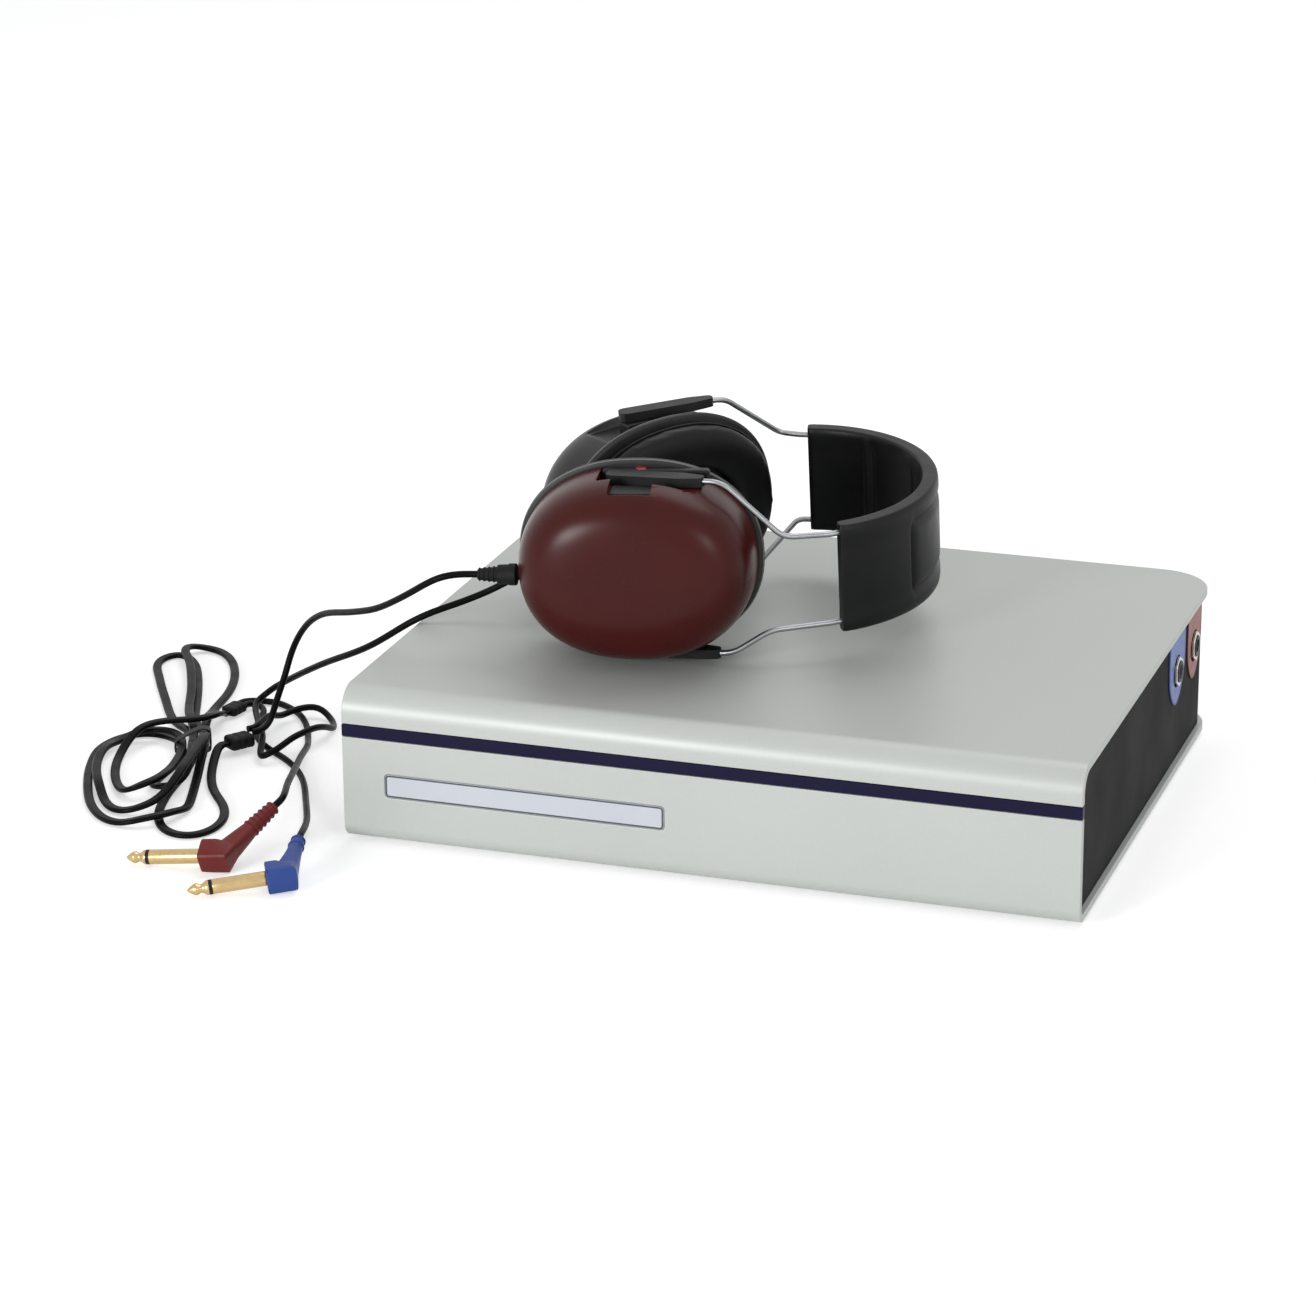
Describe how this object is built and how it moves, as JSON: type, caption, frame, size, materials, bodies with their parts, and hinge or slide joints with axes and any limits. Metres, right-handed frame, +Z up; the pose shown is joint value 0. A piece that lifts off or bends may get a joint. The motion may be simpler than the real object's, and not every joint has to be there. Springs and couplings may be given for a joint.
{
  "type": "audiometer",
  "caption": "Flat hearing-test case with side phone sockets and a two-cup earphone headset lying on it, its cords gathered in a tied hank with two angled phone plugs.",
  "frame": {"origin": "middle of the case's footprint, on the surface the feet stand on", "axes": "+X to the right along the case's front, +Y from the front to the rear connectors, +Z up"},
  "size_m": [0.4928, 0.3386, 0.16],
  "materials": {
    "silver_paint": "satin",
    "plate_film": "smooth",
    "navy_plastic": "smooth",
    "dark_plastic": "fine grain",
    "blue_film": "printed",
    "red_film": "printed",
    "black_plastic": "moulded",
    "plated_steel": "plated",
    "board": "coated",
    "iron": "varnished",
    "pad_cover": "soft, imitation",
    "band_steel": "polished",
    "cord_rubber": "satin",
    "black_rubber": "matte",
    "burgundy_plastic": "gloss",
    "black_gloss_plastic": "gloss",
    "liner_fabric": "knitted",
    "gold_plate": "plated, polished",
    "red_plastic": "satin",
    "blue_plug_plastic": "satin"
  },
  "bodies": {
    "case": {"base_cover": "silver_paint", "blue_phone_socket": "black_plastic", "blue_plug_body": "blue_plug_plastic", "blue_plug_contact": "gold_plate", "blue_socket_label": "blue_film", "blue_socket_nut": "plated_steel", "blue_tail_cord": "cord_rubber", "cord_splitter": "black_rubber", "earphone_amplifier_board": "board", "front_left_foot": "black_rubber", "front_right_foot": "black_rubber", "front_strip": "navy_plastic", "hank_tie": "black_plastic", "headband_pad": "pad_cover", "left_cup_cord": "cord_rubber", "lower_band_wire": "band_steel", "main_board": "board", "mains_inlet": "black_plastic", "mains_transformer": "iron", "name_plate": "plate_film", "power_supply_board": "board", "rear_left_foot": "black_rubber", "rear_right_foot": "black_rubber", "red_phone_socket": "black_plastic", "red_plug_body": "red_plastic", "red_plug_contact": "gold_plate", "red_socket_label": "red_film", "red_socket_nut": "plated_steel", "red_tail_cord": "cord_rubber", "right_cup_cord": "cord_rubber", "rocker_frame": "black_plastic", "signal_processor": "black_plastic", "tail_divider": "black_rubber", "top_cover": "silver_paint", "twin_cord_hank": "cord_rubber", "upper_band_wire": "band_steel", "usb_socket": "plated_steel", "wall_panel": "dark_plastic"},
    "right_sliders": {"right_upper_slider": "black_plastic", "right_lower_slider": "black_plastic"},
    "right_cup": {"right_cup_shell": "burgundy_plastic", "right_cup_rim": "black_plastic", "right_cushion": "pad_cover", "right_driver": "black_plastic", "right_ear_liner": "liner_fabric", "right_gland": "black_rubber"},
    "left_sliders": {"left_upper_slider": "black_plastic", "left_lower_slider": "black_plastic"},
    "left_cup": {"left_cup_shell": "black_gloss_plastic", "left_cup_rim": "black_plastic", "left_cushion": "pad_cover", "left_driver": "black_plastic", "left_ear_liner": "liner_fabric", "left_gland": "black_rubber"},
    "rocker": {"power_rocker": "black_plastic"}
  },
  "joints": [
    {"name": "right_cup_slide", "type": "slide", "parent": "case", "child": "right_sliders", "axis": [-0.9991, -0.0262, -0.0332], "range_m": [0, 0.008], "deforming": ["right_cup_cord"]},
    {"name": "right_cup_swivel", "type": "hinge", "parent": "right_sliders", "child": "right_cup", "pos_m": [-0.0515, -0.0534, 0.1122], "axis": [-0.0331, -0.0009, 0.9995], "range_deg": [0, 6], "deforming": ["right_cup_cord"]},
    {"name": "left_cup_slide", "type": "slide", "parent": "case", "child": "left_sliders", "axis": [-0.8259, -0.5571, -0.0872], "range_m": [0, 0.008], "deforming": ["left_cup_cord"]},
    {"name": "left_cup_swivel", "type": "hinge", "parent": "left_sliders", "child": "left_cup", "pos_m": [-0.0702, 0.025, 0.1131], "axis": [-0.0723, -0.0487, 0.9962], "range_deg": [-28, 0], "deforming": ["left_cup_cord"]},
    {"name": "power_rocker_tilt", "type": "hinge", "parent": "case", "child": "rocker", "pos_m": [0.052, 0.1223, 0.034], "axis": [1, 0, 0], "range_deg": [0, 14]}
  ]
}
